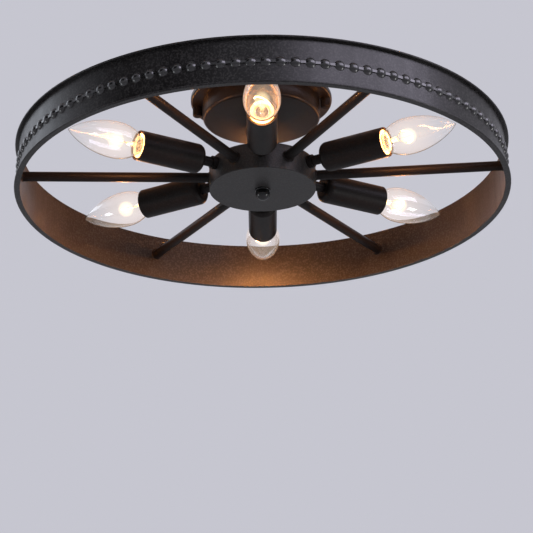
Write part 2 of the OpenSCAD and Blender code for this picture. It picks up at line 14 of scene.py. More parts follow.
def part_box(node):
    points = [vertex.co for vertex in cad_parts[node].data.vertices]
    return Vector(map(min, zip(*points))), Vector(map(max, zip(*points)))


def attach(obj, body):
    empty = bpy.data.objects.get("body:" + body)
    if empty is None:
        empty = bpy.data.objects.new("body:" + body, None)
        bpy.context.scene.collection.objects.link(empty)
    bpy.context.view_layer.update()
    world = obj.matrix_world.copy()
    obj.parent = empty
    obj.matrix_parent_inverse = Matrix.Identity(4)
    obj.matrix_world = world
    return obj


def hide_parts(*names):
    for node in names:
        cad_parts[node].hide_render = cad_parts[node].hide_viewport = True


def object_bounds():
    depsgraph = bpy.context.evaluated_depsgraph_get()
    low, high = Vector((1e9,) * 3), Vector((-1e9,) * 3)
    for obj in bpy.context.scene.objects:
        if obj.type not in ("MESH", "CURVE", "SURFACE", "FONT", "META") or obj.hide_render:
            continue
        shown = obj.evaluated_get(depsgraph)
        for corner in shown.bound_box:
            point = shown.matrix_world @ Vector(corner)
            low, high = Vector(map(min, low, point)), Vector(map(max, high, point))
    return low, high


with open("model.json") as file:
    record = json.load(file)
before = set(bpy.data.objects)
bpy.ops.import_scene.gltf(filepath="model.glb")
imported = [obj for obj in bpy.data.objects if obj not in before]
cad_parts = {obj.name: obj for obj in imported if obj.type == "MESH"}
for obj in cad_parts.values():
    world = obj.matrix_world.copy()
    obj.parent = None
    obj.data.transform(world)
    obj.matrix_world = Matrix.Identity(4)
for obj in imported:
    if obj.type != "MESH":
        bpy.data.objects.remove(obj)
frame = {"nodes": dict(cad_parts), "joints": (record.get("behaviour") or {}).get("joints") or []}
CAD_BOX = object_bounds()

LOG = logging.getLogger("wheel_light")
MM = 0.001
ARM_COUNT = 6
PHOTO_SIDE = 533

NodeSocket = bpy.types.NodeSocket
Colour = tuple[float, float, float]
Input = NodeSocket | float | Colour
Point = tuple[float, float]
Wires = dict[str, NodeSocket]


class Slot(Enum):
    """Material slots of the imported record."""

    POWDER_COAT = "black_powder_coat"
    GLOSS = "black_gloss"
    BEAD = "bead_black"
    ZINC = "zinc_steel"
    BRASS = "brass"
    IVORY = "ivory_plastic"
    CAP = "nickel_cap"
    GLASS = "bulb_glass"
    TUNGSTEN = "tungsten"


class Graph:
    """A node tree that is being wired, for a finish, an effect group or the world."""

    def __init__(self, tree: bpy.types.NodeTree) -> None:
        """Starts on an empty tree."""
        self.tree = tree

    @classmethod
    def of(cls, owner: bpy.types.Material | bpy.types.World) -> "Graph":
        """Empties the node tree of a material or a world.

        Args:
            owner: The material or world.

        Returns:
            A graph on its tree.
        """
        owner.use_nodes = True
        owner.node_tree.nodes.clear()
        return cls(owner.node_tree)

    def add(self, kind: str, **settings: object) -> bpy.types.Node:
        """Adds one node.

        Args:
            kind: Blender's name of the node's type.
            settings: Properties to set on the node.

        Returns:
            The new node.
        """
        node = self.tree.nodes.new(kind)
        for name, value in settings.items():
            setattr(node, name, value)
        return node

    def feed(self, socket: NodeSocket, value: Input) -> None:
        """Links a socket to another one, or sets its plain value.

        Args:
            socket: The input to feed.
            value: An output socket, a number, a direction, or a colour without its alpha.
        """
        if isinstance(value, NodeSocket):
            self.tree.links.new(value, socket)
        elif socket.type == "RGBA":
            socket.default_value = (*value, 1.0)
        else:
            socket.default_value = value

    def calc(self, operation: str, first: Input, second: Input) -> NodeSocket:
        """Adds a Math node.

        Args:
            operation: The node's operation, such as MAXIMUM.
            first: Its first input.
            second: Its second input.

        Returns:
            The result's socket.
        """
        node = self.add("ShaderNodeMath", operation=operation)
        self.feed(node.inputs[0], first)
        self.feed(node.inputs[1], second)
        return node.outputs[0]

    def product(self, first: Input, *others: Input) -> NodeSocket:
        """Multiplies values.

        Args:
            first: The first factor.
            others: The other factors.

        Returns:
            The product's socket.
        """
        result = first
        for other in others:
            result = self.calc("MULTIPLY", result, other)
        return result

    def added(self, base: Input, source: Input, share: Input) -> NodeSocket:
        """Returns a base value plus a share of a source."""
        return self.calc("ADD", base, self.product(source, share))

    def span(
        self, value: Input, low: float, high: float, start: float = 0.0, end: float = 1.0
    ) -> NodeSocket:
        """Maps a value smoothly from low..high to start..end.

        Args:
            value: The value to map.
            low: The value that gives start.
            high: The value that gives end.
            start: The result at low.
            end: The result at high.

        Returns:
            The mapped value's socket.
        """
        node = self.add("ShaderNodeMapRange", interpolation_type="SMOOTHSTEP")
        limits = {"Value": value, "From Min": low, "From Max": high, "To Min": start, "To Max": end}
        for name, number in limits.items():
            self.feed(node.inputs[name], number)
        return node.outputs["Result"]

    def blend(self, factor: Input, first: Input, second: Input) -> NodeSocket:
        """Mixes two colours.

        Args:
            factor: How much of the second colour shows.
            first: The colour at factor 0.
            second: The colour at factor 1.

        Returns:
            The mixed colour's socket.
        """
        node = self.add("ShaderNodeMix", data_type="RGBA")
        colours = [socket for socket in node.inputs if socket.type == "RGBA"]
        self.feed(node.inputs["Factor"], factor)
        self.feed(colours[0], first)
        self.feed(colours[1], second)
        return next(socket for socket in node.outputs if socket.type == "RGBA")

    def choose(self, factor: NodeSocket, first: bpy.types.Node, second: bpy.types.Node) -> bpy.types.Node:
        """Mixes two shaders.

        Args:
            factor: How much of the second shader shows.
            first: The shader at factor 0.
            second: The shader at factor 1.

        Returns:
            The mix node.
        """
        node = self.add("ShaderNodeMixShader")
        for socket, source in zip(node.inputs, (factor, first.outputs[0], second.outputs[0])):
            self.feed(socket, source)
        return node

    def place(self) -> NodeSocket:
        """Returns the piece's own coordinates."""
        return self.add("ShaderNodeTexCoord").outputs["Object"]

    def stretched(self, across: Input, up: Input) -> NodeSocket:
        """Scales the piece's own coordinates, so that a noise over them gets longer on an axis.

        Args:
            across: The scale on X and Y.
            up: The scale on Z.

        Returns:
            The scaled coordinates' socket.
        """
        scale = self.add("ShaderNodeCombineXYZ")
        for socket, value in zip(scale.inputs, (across, across, up)):
            self.feed(socket, value)
        node = self.add("ShaderNodeVectorMath", operation="MULTIPLY")
        self.feed(node.inputs[0], self.place())
        self.feed(node.inputs[1], scale.outputs[0])
        return node.outputs[0]

    def noise(
        self, scale: Input, detail: float = 2.0, rough: float = 0.5, vector: NodeSocket | None = None
    ) -> NodeSocket:
        """Adds a noise over the piece's own coordinates.

        Args:
            scale: Waves a metre.
            detail: Octaves of the noise.
            rough: How strong the finer octaves are.
            vector: Other coordinates to use.

        Returns:
            The noise's value socket.
        """
        node = self.add("ShaderNodeTexNoise")
        self.feed(node.inputs["Vector"], self.place() if vector is None else vector)
        self.feed(node.inputs["Scale"], scale)
        self.feed(node.inputs["Detail"], detail)
        self.feed(node.inputs["Roughness"], rough)
        return node.outputs["Fac"]

    def bump(
        self, height: NodeSocket, depth: float, strength: float, normal: NodeSocket | None = None
    ) -> NodeSocket:
        """Turns a height into a normal.

        Args:
            height: The height, from 0 to 1.
            depth: The real depth of height 1, in metres.
            strength: How much of it shows.
            normal: A normal to build on.

        Returns:
            The normal's socket.
        """
        node = self.add("ShaderNodeBump")
        self.feed(node.inputs["Height"], height)
        self.feed(node.inputs["Distance"], depth)
        self.feed(node.inputs["Strength"], strength)
        if normal is not None:
            self.feed(node.inputs["Normal"], normal)
        return node.outputs["Normal"]


@dataclass(frozen=True)
class Effect:
    """A shader node group that more than one finish uses.

    Attributes:
        name: The group's name.
        inputs: Its number inputs with their defaults.
        outputs: Its number outputs.
        wire: Fills the group: it gets the graph and the inputs, and returns the outputs' sources by name.
    """

    name: str
    inputs: dict[str, float]
    outputs: tuple[str, ...]
    wire: Callable[[Graph, Wires], Wires]

    def group(self) -> bpy.types.NodeTree:
        """Builds the node group at its first use.

        Returns:
            The node group.
        """
        known = bpy.data.node_groups.get(self.name)
        if known is not None:
            return known
        tree = bpy.data.node_groups.new(self.name, "ShaderNodeTree")
        for name, default in self.inputs.items():
            socket = tree.interface.new_socket(name=name, in_out="INPUT", socket_type="NodeSocketFloat")
            socket.default_value = default
        for name in self.outputs:
            tree.interface.new_socket(name=name, in_out="OUTPUT", socket_type="NodeSocketFloat")
        graph = Graph(tree)
        entry = graph.add("NodeGroupInput")
        leave = graph.add("NodeGroupOutput")
        for name, source in self.wire(graph, {name: entry.outputs[name] for name in self.inputs}).items():
            graph.feed(leave.inputs[name], source)
        return tree

    def into(self, graph: Graph, **values: float) -> Wires:
        """Places the effect in a finish.

        Args:
            graph: The finish's graph.
            values: Values of the group's inputs.

        Returns:
            The group's output sockets by name.
        """
        node = graph.add("ShaderNodeGroup")
        node.node_tree = self.group()
        for name, value in values.items():
            node.inputs[name].default_value = value
        return {name: node.outputs[name] for name in self.outputs}


def wire_edge_wear(graph: Graph, inputs: Wires) -> Wires:
    """Wires the edge wear group: the mask is 1 where an edge has rubbed thin.

    Args:
        graph: The group's graph.
        inputs: Its Radius, Scale and Amount.

    Returns:
        Its Mask.
    """
    flat_dot, worn_dot = 0.995, 0.86
    whole_below, rubbed_above = 0.38, 0.62
    rounded = graph.add("ShaderNodeBevel", samples=4)
    graph.feed(rounded.inputs["Radius"], inputs["Radius"])
    facing = graph.add("ShaderNodeVectorMath", operation="DOT_PRODUCT")
    graph.feed(facing.inputs[0], rounded.outputs["Normal"])
    graph.feed(facing.inputs[1], graph.add("ShaderNodeNewGeometry").outputs["Normal"])
    edge = graph.span(facing.outputs["Value"], flat_dot, worn_dot)
    patches = graph.noise(inputs["Scale"], detail=4.0, rough=0.7)
    broken = graph.span(patches, whole_below, rubbed_above)
    return {"Mask": graph.product(edge, broken, inputs["Amount"])}


def wire_dust(graph: Graph, inputs: Wires) -> Wires:
    """Wires the dust group: the mask is 1 where dust lies on faces that look up.

    Args:
        graph: The group's graph.
        inputs: Its Scale and Amount.

    Returns:
        Its Mask.
    """
    steep, level = 0.35, 0.95
    clean_below, full_above = 0.3, 0.75
    up = graph.add("ShaderNodeSeparateXYZ")
    graph.feed(up.inputs[0], graph.add("ShaderNodeTexCoord").outputs["Normal"])
    lying = graph.span(up.outputs["Z"], steep, level)
    patches = graph.noise(inputs["Scale"], detail=6.0, rough=0.65)
    return {"Mask": graph.product(lying, graph.span(patches, clean_below, full_above), inputs["Amount"])}


def wire_powder_grain(graph: Graph, inputs: Wires) -> Wires:
    """Wires the powder grain group: slow waves of baked powder with fine grains on them.

    Args:
        graph: The group's graph.
        inputs: Its Scale, in waves a metre, and Grain, the share of the fine grains.

    Returns:
        Its Height, and Tone, which drifts slowly over the piece.
    """
    finer, slower = 4.3, 0.03
    waves = graph.noise(inputs["Scale"], detail=1.0)
    grains = graph.noise(graph.product(inputs["Scale"], finer), detail=3.0, rough=0.7)
    tone = graph.noise(graph.product(inputs["Scale"], slower), detail=3.0)
    return {"Height": graph.added(waves, grains, inputs["Grain"]), "Tone": tone}


def wire_tool_marks(graph: Graph, inputs: Wires) -> Wires:
    """Wires the tool marks group: fine drawn lines, broken up by small scratches.

    Args:
        graph: The group's graph.
        inputs: Its Scale, in marks a metre, and Stretch, how long a mark is for its width.

    Returns:
        Its Height, and Tone for roughness, the mean of marks and stains.
    """
    wider = 0.12
    drawn = graph.stretched(inputs["Stretch"], 1.0)
    marks = graph.noise(inputs["Scale"], detail=3.0, rough=0.6, vector=drawn)
    stains = graph.noise(graph.product(inputs["Scale"], wider), detail=4.0)
    return {"Height": marks, "Tone": graph.product(graph.calc("ADD", marks, stains), 1 / 2)}


def wire_rolled_waves(graph: Graph, inputs: Wires) -> Wires:
    """Wires the rolled waves group: upright ripples that rolling leaves in a sheet band.

    Args:
        graph: The group's graph.
        inputs: Its Scale, in ripples a metre, and Upright, how much shorter a ripple is than it is tall.

    Returns:
        Its Height.
    """
    drawn = graph.stretched(1.0, inputs["Upright"])
    return {"Height": graph.noise(inputs["Scale"], detail=2.5, rough=0.6, vector=drawn)}


EDGE_WEAR = Effect(
    "edge_wear", {"Radius": 0.8 * MM, "Scale": 420.0, "Amount": 1.0}, ("Mask",), wire_edge_wear
)
DUST = Effect("settled_dust", {"Scale": 90.0, "Amount": 0.5}, ("Mask",), wire_dust)
POWDER_GRAIN = Effect("powder_grain", {"Scale": 700.0, "Grain": 0.35}, ("Height", "Tone"), wire_powder_grain)
TOOL_MARKS = Effect("tool_marks", {"Scale": 1800.0, "Stretch": 0.06}, ("Height", "Tone"), wire_tool_marks)
ROLLED_WAVES = Effect("rolled_waves", {"Scale": 42.0, "Upright": 0.12}, ("Height",), wire_rolled_waves)


@dataclass(frozen=True)
class Finish:
    """The look of one surface. A kind of finish wires its own shader.

    Attributes:
        name: The material's name.
        slot: The record's slot that it stands for; nothing in the script reads it.
        base: Its plain colour, in linear light.
    """

    name: str
    slot: Slot
    base: Colour

    def material(self) -> bpy.types.Material:
        """Makes the material at its first use.

        Returns:
            The material.
        """
        known = bpy.data.materials.get(self.name)
        if known is not None:
            return known
        made = bpy.data.materials.new(self.name)
        graph = Graph.of(made)
        leave = graph.add("ShaderNodeOutputMaterial")
        graph.feed(leave.inputs["Surface"], self.wire(graph))
        made.diffuse_color = (*self.base, 1.0)
        made.cycles.emission_sampling = "NONE"
        return made

    def wire(self, graph: Graph) -> NodeSocket:
        """Wires the finish's shader. Each kind of finish has its own.

        Args:
            graph: The material's graph.

        Returns:
            The shader's socket.
        """
        return self.surface(graph).outputs[0]

    def surface(self, graph: Graph, **constants: float) -> bpy.types.Node:
        """Adds the Principled shader with the base colour and its constants.

        Args:
            graph: The material's graph.
            constants: Plain values of its sockets, with _ for a space in a name.

        Returns:
            The shader node.
        """
        shader = graph.add("ShaderNodeBsdfPrincipled")
        graph.feed(shader.inputs["Base Color"], self.base)
        for name, value in constants.items():
            shader.inputs[name.replace("_", " ")].default_value = value
        return shader


@dataclass(frozen=True)
class BakedCoat(Finish):
    """Black paint or powder baked on metal: a fine grain, thin edges and dust on top.

    Attributes:
        rub: The colour where an edge has rubbed.
        gloss_rough: Roughness of the clean coat.
        grain_depth: Real depth of its grain, in metres.
        grain_scale: Waves of the grain a metre.
        wear: How much of the edges has rubbed.
        dust: How much dust lies on top.
        coat: Weight of a clear lacquer.
        shine: Level of its reflection, 0.5 for a plain paint.
        wave_depth: Real depth of ripples from rolling, in metres.
        speckle: How much its fine grains differ in tone.
    """

    rub: Colour = (0.05, 0.047, 0.046)
    gloss_rough: float = 0.34
    grain_depth: float = 0.04 * MM
    grain_scale: float = 700.0
    wear: float = 0.5
    dust: float = 0.35
    coat: float = 0.0
    shine: float = 0.36
    wave_depth: float = 0.0
    speckle: float = 0.5

    def wire(self, graph: Graph) -> NodeSocket:
        """Wires coat, grain, rubbed edges and dust.

        Args:
            graph: The material's graph.

        Returns:
            The shader's socket.
        """
        dust_colour = (0.23, 0.22, 0.205)
        paler = tuple(1.5 * part for part in self.base)
        tone_band = (0.3, 0.7)
        speckle_band = (0.62, 0.86)
        smoothest, roughest = self.gloss_rough - 0.03, self.gloss_rough + 0.05
        dust_rough = 0.4
        shader = self.surface(
            graph, Coat_Weight=self.coat, Coat_Roughness=0.08, Specular_IOR_Level=self.shine
        )
        grain = POWDER_GRAIN.into(graph, Scale=self.grain_scale)
        worn = EDGE_WEAR.into(graph, Amount=self.wear)["Mask"]
        dusty = DUST.into(graph, Amount=self.dust)["Mask"]
        colour = graph.blend(graph.span(grain["Tone"], *tone_band), self.base, paler)
        colour = graph.blend(graph.span(grain["Height"], *speckle_band, 0.0, self.speckle), colour, self.rub)
        colour = graph.blend(worn, colour, self.rub)
        graph.feed(shader.inputs["Base Color"], graph.blend(dusty, colour, dust_colour))
        rough = graph.span(grain["Tone"], *tone_band, smoothest, roughest)
        rough = graph.added(rough, dusty, dust_rough)
        rolled = None
        if self.wave_depth > 0:
            rolled, rough = self.roll(graph, rough)
        graph.feed(shader.inputs["Roughness"], rough)
        grained = graph.bump(grain["Height"], self.grain_depth, strength=0.6, normal=rolled)
        graph.feed(shader.inputs["Normal"], grained)
        return shader.outputs[0]

    def roll(self, graph: Graph, rough: NodeSocket) -> tuple[NodeSocket, NodeSocket]:
        """Adds the ripples of a rolled band, which are a little rougher on their crests.

        Args:
            graph: The material's graph.
            rough: The roughness so far.

        Returns:
            The ripples' normal and the new roughness.
        """
        wave_band = (0.38, 0.66)
        trough_rough, crest_rough = -0.02, 0.05
        waves = ROLLED_WAVES.into(graph)["Height"]
        change = graph.span(waves, *wave_band, trough_rough, crest_rough)
        return graph.bump(waves, self.wave_depth, strength=1.0), graph.calc("ADD", rough, change)


@dataclass(frozen=True)
class ZincPlate(Finish):
    """Zinc plated steel: a metal with crystal patches, tool marks and a duller film.

    Attributes:
        crystal_scale: Crystals a metre.
        rough: Roughness of the brightest crystals.
        mark_depth: Real depth of the tool marks, in metres.
    """

    crystal_scale: float = 260.0
    rough: float = 0.3
    mark_depth: float = 0.01 * MM

    def wire(self, graph: Graph) -> NodeSocket:
        """Wires the crystals, the film and the tool marks.

        Args:
            graph: The material's graph.

        Returns:
            The shader's socket.
        """
        dull = tuple(0.72 * part for part in self.base)
        dust_colour = (0.3, 0.29, 0.27)
        crystal_rough, mark_rough = 0.14, 0.12
        shader = self.surface(graph, Metallic=1.0)
        crystals = graph.add("ShaderNodeTexVoronoi")
        graph.feed(crystals.inputs["Vector"], graph.place())
        graph.feed(crystals.inputs["Scale"], self.crystal_scale)
        patch = graph.add("ShaderNodeSeparateColor")
        graph.feed(patch.inputs[0], crystals.outputs["Color"])
        marks = TOOL_MARKS.into(graph)
        dusty = DUST.into(graph, Amount=0.3)["Mask"]
        colour = graph.blend(patch.outputs[0], self.base, dull)
        graph.feed(shader.inputs["Base Color"], graph.blend(dusty, colour, dust_colour))
        rough = graph.added(self.rough, patch.outputs[1], crystal_rough)
        graph.feed(shader.inputs["Roughness"], graph.added(rough, marks["Tone"], mark_rough))
        graph.feed(shader.inputs["Normal"], graph.bump(marks["Height"], self.mark_depth, strength=0.5))
        return shader.outputs[0]


@dataclass(frozen=True)
class DrawnMetal(Finish):
    """Brass or nickel drawn from sheet: bright, with tool marks and tarnish.

    Attributes:
        tarnish: The colour of tarnished patches.
        rough: Roughness of the bright metal.
        mark_depth: Real depth of the tool marks, in metres.
    """

    tarnish: Colour = (0.3, 0.2, 0.1)
    rough: float = 0.22
    mark_depth: float = 0.008 * MM

    def wire(self, graph: Graph) -> NodeSocket:
        """Wires the tarnish and the marks.

        Args:
            graph: The material's graph.

        Returns:
            The shader's socket.
        """
        patch_scale = 160.0
        bright_below, tarnished_above, most_tarnish = 0.5, 0.8, 0.55
        mark_rough, tarnish_rough = 0.16, 0.2
        shader = self.surface(graph, Metallic=1.0)
        marks = TOOL_MARKS.into(graph, Scale=2600.0, Stretch=0.1)
        patches = graph.noise(patch_scale, detail=5.0, rough=0.65)
        patches = graph.span(patches, bright_below, tarnished_above, 0.0, most_tarnish)
        graph.feed(shader.inputs["Base Color"], graph.blend(patches, self.base, self.tarnish))
        rough = graph.added(self.rough, marks["Tone"], mark_rough)
        graph.feed(shader.inputs["Roughness"], graph.added(rough, patches, tarnish_rough))
        graph.feed(shader.inputs["Normal"], graph.bump(marks["Height"], self.mark_depth, strength=0.4))
        return shader.outputs[0]


@dataclass(frozen=True)
class Moulding(Finish):
    """Moulded plastic or glazed ware: a soft skin with faint flow lines.

    Attributes:
        shade: The colour of its slightly darker patches.
        rough: Mean roughness of the skin.
        depth: Real depth of the skin's texture, in metres.
    """

    shade: Colour = (0.62, 0.53, 0.38)
    rough: float = 0.34
    depth: float = 0.03 * MM

    def wire(self, graph: Graph) -> NodeSocket:
        """Wires the patches and the skin's texture.

        Args:
            graph: The material's graph.

        Returns:
            The shader's socket.
        """
        flow_scale, skin_scale = 70.0, 1500.0
        plain_below, shaded_above, most_shade = 0.35, 0.8, 0.6
        skin_rough = 0.12
        shader = self.surface(graph, Specular_IOR_Level=0.5)
        flow = graph.noise(flow_scale, detail=4.0, rough=0.6)
        flow = graph.span(flow, plain_below, shaded_above, 0.0, most_shade)
        skin = graph.noise(skin_scale)
        worn = EDGE_WEAR.into(graph, Amount=0.3)["Mask"]
        colour = graph.blend(flow, self.base, self.shade)
        graph.feed(shader.inputs["Base Color"], graph.blend(worn, colour, self.base))
        graph.feed(shader.inputs["Roughness"], graph.added(self.rough - skin_rough / 2, skin, skin_rough))
        graph.feed(shader.inputs["Normal"], graph.bump(skin, self.depth, strength=0.5))
        return shader.outputs[0]


@dataclass(frozen=True)
class ClearGlass(Finish):
    """Thin clear glass that lets the lamps' light through, with a painted glow in it: emission round the
    filament, brightest before the filament where the glass faces the view.

    Attributes:
        index: Its index of refraction.
        thin: The colour of the painted glow in the glass far from the filament, as light.
        near_painted_glow: The colour of the painted glow in the glass by the filament, as light.
        glow: The colour of the painted glow before the filament, where the glass faces the view, as light.
        middle: Where the filament lies along the piece's axis, in metres.
        glow_from: Distance from the filament where the glow is full, in metres.
        glow_to: Distance where it has faded.
        glow_turn: How far the glass turns away before the glow has faded, from 0 to 1.
        near_glow_reach: How much farther the painted glow by the filament reaches than the glow before it.
    """

    index: float = 1.45
    thin: Colour = (0.0, 0.0, 0.0)
    near_painted_glow: Colour = (0.0, 0.0, 0.0)
    glow: Colour = (0.0, 0.0, 0.0)
    middle: float = 24 * MM
    glow_from: float = 17 * MM
    glow_to: float = 26 * MM
    glow_turn: float = 0.34
    near_glow_reach: float = 1.6

    def wire(self, graph: Graph) -> NodeSocket:
        """Wires the glass, its painted glow and the way through for light.

        Args:
            graph: The material's graph.

        Returns:
            The shader's socket.
        """
        shader = self.surface(
            graph, Transmission_Weight=1.0, Roughness=0.0, IOR=self.index, Emission_Strength=1.0
        )
        # Painted glow: emission in the glass itself stands in for the filament's light, round the filament
        # and where the glass faces the view.
        away = graph.add("ShaderNodeVectorMath", operation="DISTANCE")
        graph.feed(away.inputs[0], graph.place())
        graph.feed(away.inputs[1], (0.0, 0.0, self.middle))
        near = graph.span(away.outputs["Value"], self.glow_to, self.glow_from)
        turned = graph.add("ShaderNodeLayerWeight").outputs["Facing"]
        before = graph.product(near, graph.span(turned, self.glow_turn, 0.0))
        near_glow_share = graph.span(away.outputs["Value"], self.near_glow_reach * self.glow_to, self.glow_from)
        light = graph.blend(before, graph.blend(near_glow_share, self.thin, self.near_painted_glow), self.glow)
        graph.feed(shader.inputs["Emission Color"], light)
        rays = graph.add("ShaderNodeLightPath")
        passed = graph.calc("MAXIMUM", rays.outputs["Is Shadow Ray"], rays.outputs["Is Diffuse Ray"])
        return graph.choose(passed, shader, graph.add("ShaderNodeBsdfTransparent")).outputs[0]


@dataclass(frozen=True)
class HotWire(Finish):
    """A glowing filament: its base colour along the arch, redder where the leads cool it.

    Attributes:
        cool: The colour at its ends.
        strength: How bright it glows.
        half_width: Half the width of the filament's arch, in metres.
        hot_to: Where the cooler ends start, as a share of half_width.
        cool_from: Where they have their full colour.
    """

    cool: Colour = (1.0, 0.28, 0.05)
    strength: float = 50.0
    half_width: float = 8 * MM
    hot_to: float = 1.04
    cool_from: float = 1.1

    def wire(self, graph: Graph) -> NodeSocket:
        """Wires the glow along the filament.

        Args:
            graph: The material's graph.

        Returns:
            The shader's socket.
        """
        shader = self.surface(graph, Roughness=0.5, Emission_Strength=self.strength)
        away = graph.add("ShaderNodeVectorMath", operation="LENGTH")
        graph.feed(away.inputs[0], graph.place())
        ends = (self.hot_to * self.half_width, self.cool_from * self.half_width)
        cooled = graph.span(away.outputs["Value"], *ends)
        graph.feed(shader.inputs["Emission Color"], graph.blend(cooled, self.base, self.cool))
        return shader.outputs[0]


# Satin black powder coat; the warm tint of its base colour is painted warm light from the bulbs.
SATIN_BLACK = BakedCoat(
    "satin_black_powder", Slot.POWDER_COAT, (0.0055, 0.0041, 0.0035), gloss_rough=0.4, shine=0.11, speckle=0.1
)
HUB_BLACK = BakedCoat(
    "hub_black_powder", Slot.POWDER_COAT, (0.016, 0.0150, 0.0145), gloss_rough=0.42, shine=0.26
)
# Black powder coat; the warm tint of its base colour is painted warm light from the bulbs on the canopy's
# underside.
CANOPY_BLACK = BakedCoat(
    "canopy_black_powder",
    Slot.POWDER_COAT,
    (0.0060, 0.0042, 0.0032),
    gloss_rough=0.36,
    wear=0.1,
    shine=0.26,
    speckle=0.1,
)
ROLLED_BLACK = BakedCoat(
    "rolled_band_black",
    Slot.POWDER_COAT,
    (0.0055, 0.0048, 0.0048),
    gloss_rough=0.34,
    grain_depth=0.1 * MM,
    grain_scale=560.0,
    shine=0.30,
    wave_depth=0.25 * MM,
)
SMOOTH_BLACK = BakedCoat(
    "black_enamel",
    Slot.GLOSS,
    (0.0020, 0.0020, 0.0021),
    gloss_rough=0.08,
    grain_depth=0.005 * MM,
    wear=0.0,
    coat=0.3,
    shine=0.28,
    speckle=0.0,
)
BEAD_BLACK = BakedCoat(
    "bead_black_enamel",
    Slot.BEAD,
    (0.0055, 0.0050, 0.0052),
    gloss_rough=0.25,
    grain_depth=0.02 * MM,
    wear=0.25,
    coat=0.25,
    shine=0.6,
    speckle=0.2,
)
ZINC = ZincPlate("zinc_plated_steel", Slot.ZINC, (0.60, 0.61, 0.62))
BRASS = DrawnMetal("drawn_brass", Slot.BRASS, (0.80, 0.58, 0.25))
IVORY = Moulding("ivory_moulding", Slot.IVORY, (0.80, 0.72, 0.55))
NICKEL = DrawnMetal("nickel_plated_shell", Slot.CAP, (0.70, 0.68, 0.64), tarnish=(0.36, 0.32, 0.27))
SOLDER = DrawnMetal("tinned_contact", Slot.CAP, (0.58, 0.58, 0.60), tarnish=(0.3, 0.3, 0.3), rough=0.36)
CAP_GLASS = Moulding(
    "cap_black_glass", Slot.CAP, (0.012, 0.011, 0.014), shade=(0.02, 0.018, 0.02), rough=0.14
)
# Painted glow in the clear envelope round the filament.
CLEAR_GLASS = ClearGlass(
    "clear_bulb_glass",
    Slot.GLASS,
    (0.965, 0.965, 0.97),
    thin=(0.026, 0.023, 0.019),
    near_painted_glow=(0.066, 0.044, 0.026),
    glow=(0.10, 0.08, 0.05),
    glow_turn=0.24,
)
# Painted glow: the pressed stem glows bright orange, standing in for the filament's light that fills the
# bulb's mouth.
STEM_GLASS = ClearGlass(
    "pressed_stem_glass",
    Slot.GLASS,
    (0.93, 0.97, 0.96),
    thin=(0.03, 0.02, 0.01),
    near_painted_glow=(0.3, 0.18, 0.08),
    glow=(1.3, 0.85, 0.32),
    middle=20 * MM,
    glow_from=6 * MM,
    glow_to=17 * MM,
    glow_turn=0.95,
)
FILAMENT_HALO = ClearGlass(
    "filament_halo",
    Slot.TUNGSTEN,
    (1.0, 1.0, 1.0),
    index=1.0,
    glow=(0.40, 0.30, 0.15),
    middle=4 * MM,
    glow_turn=0.42,
)
LEAD_WIRE = DrawnMetal("lead_wire", Slot.TUNGSTEN, (0.70, 0.52, 0.42), tarnish=(0.3, 0.22, 0.2), rough=0.3)
FILAMENT = HotWire("glowing_filament", Slot.TUNGSTEN, (1.0, 0.52, 0.2))


def dress(finish: Finish, *nodes: str) -> None:
    """Gives CAD nodes a finish.

    Args:
        finish: The finish.
        nodes: The nodes' names.
    """
    for name in nodes:
        mesh = frame["nodes"][name].data
        mesh.materials.clear()
        mesh.materials.append(finish.material())
        LOG.info("dressed %s with %s", name, finish.name)


def numbered(stem: str) -> list[str]:
    """Returns the names of a row of like nodes, one for each arm."""
    return [f"{stem}_{index}" for index in range(1, ARM_COUNT + 1)]


def put(
    name: str, data: bpy.types.Mesh | bpy.types.Light | bpy.types.Camera, place: Matrix
) -> bpy.types.Object:
    """Puts an object in the scene.

    Args:
        name: Its name.
        data: What it shows.
        place: Where it goes in the frame.

    Returns:
        The new object.
    """
    made = bpy.data.objects.new(name, data)
    made.matrix_world = place
    bpy.context.scene.collection.objects.link(made)
    return made


def around(steps: int) -> list[float]:
    """Returns evenly spaced angles of a full turn, in radians."""
    return [math.tau * step / steps for step in range(steps)]


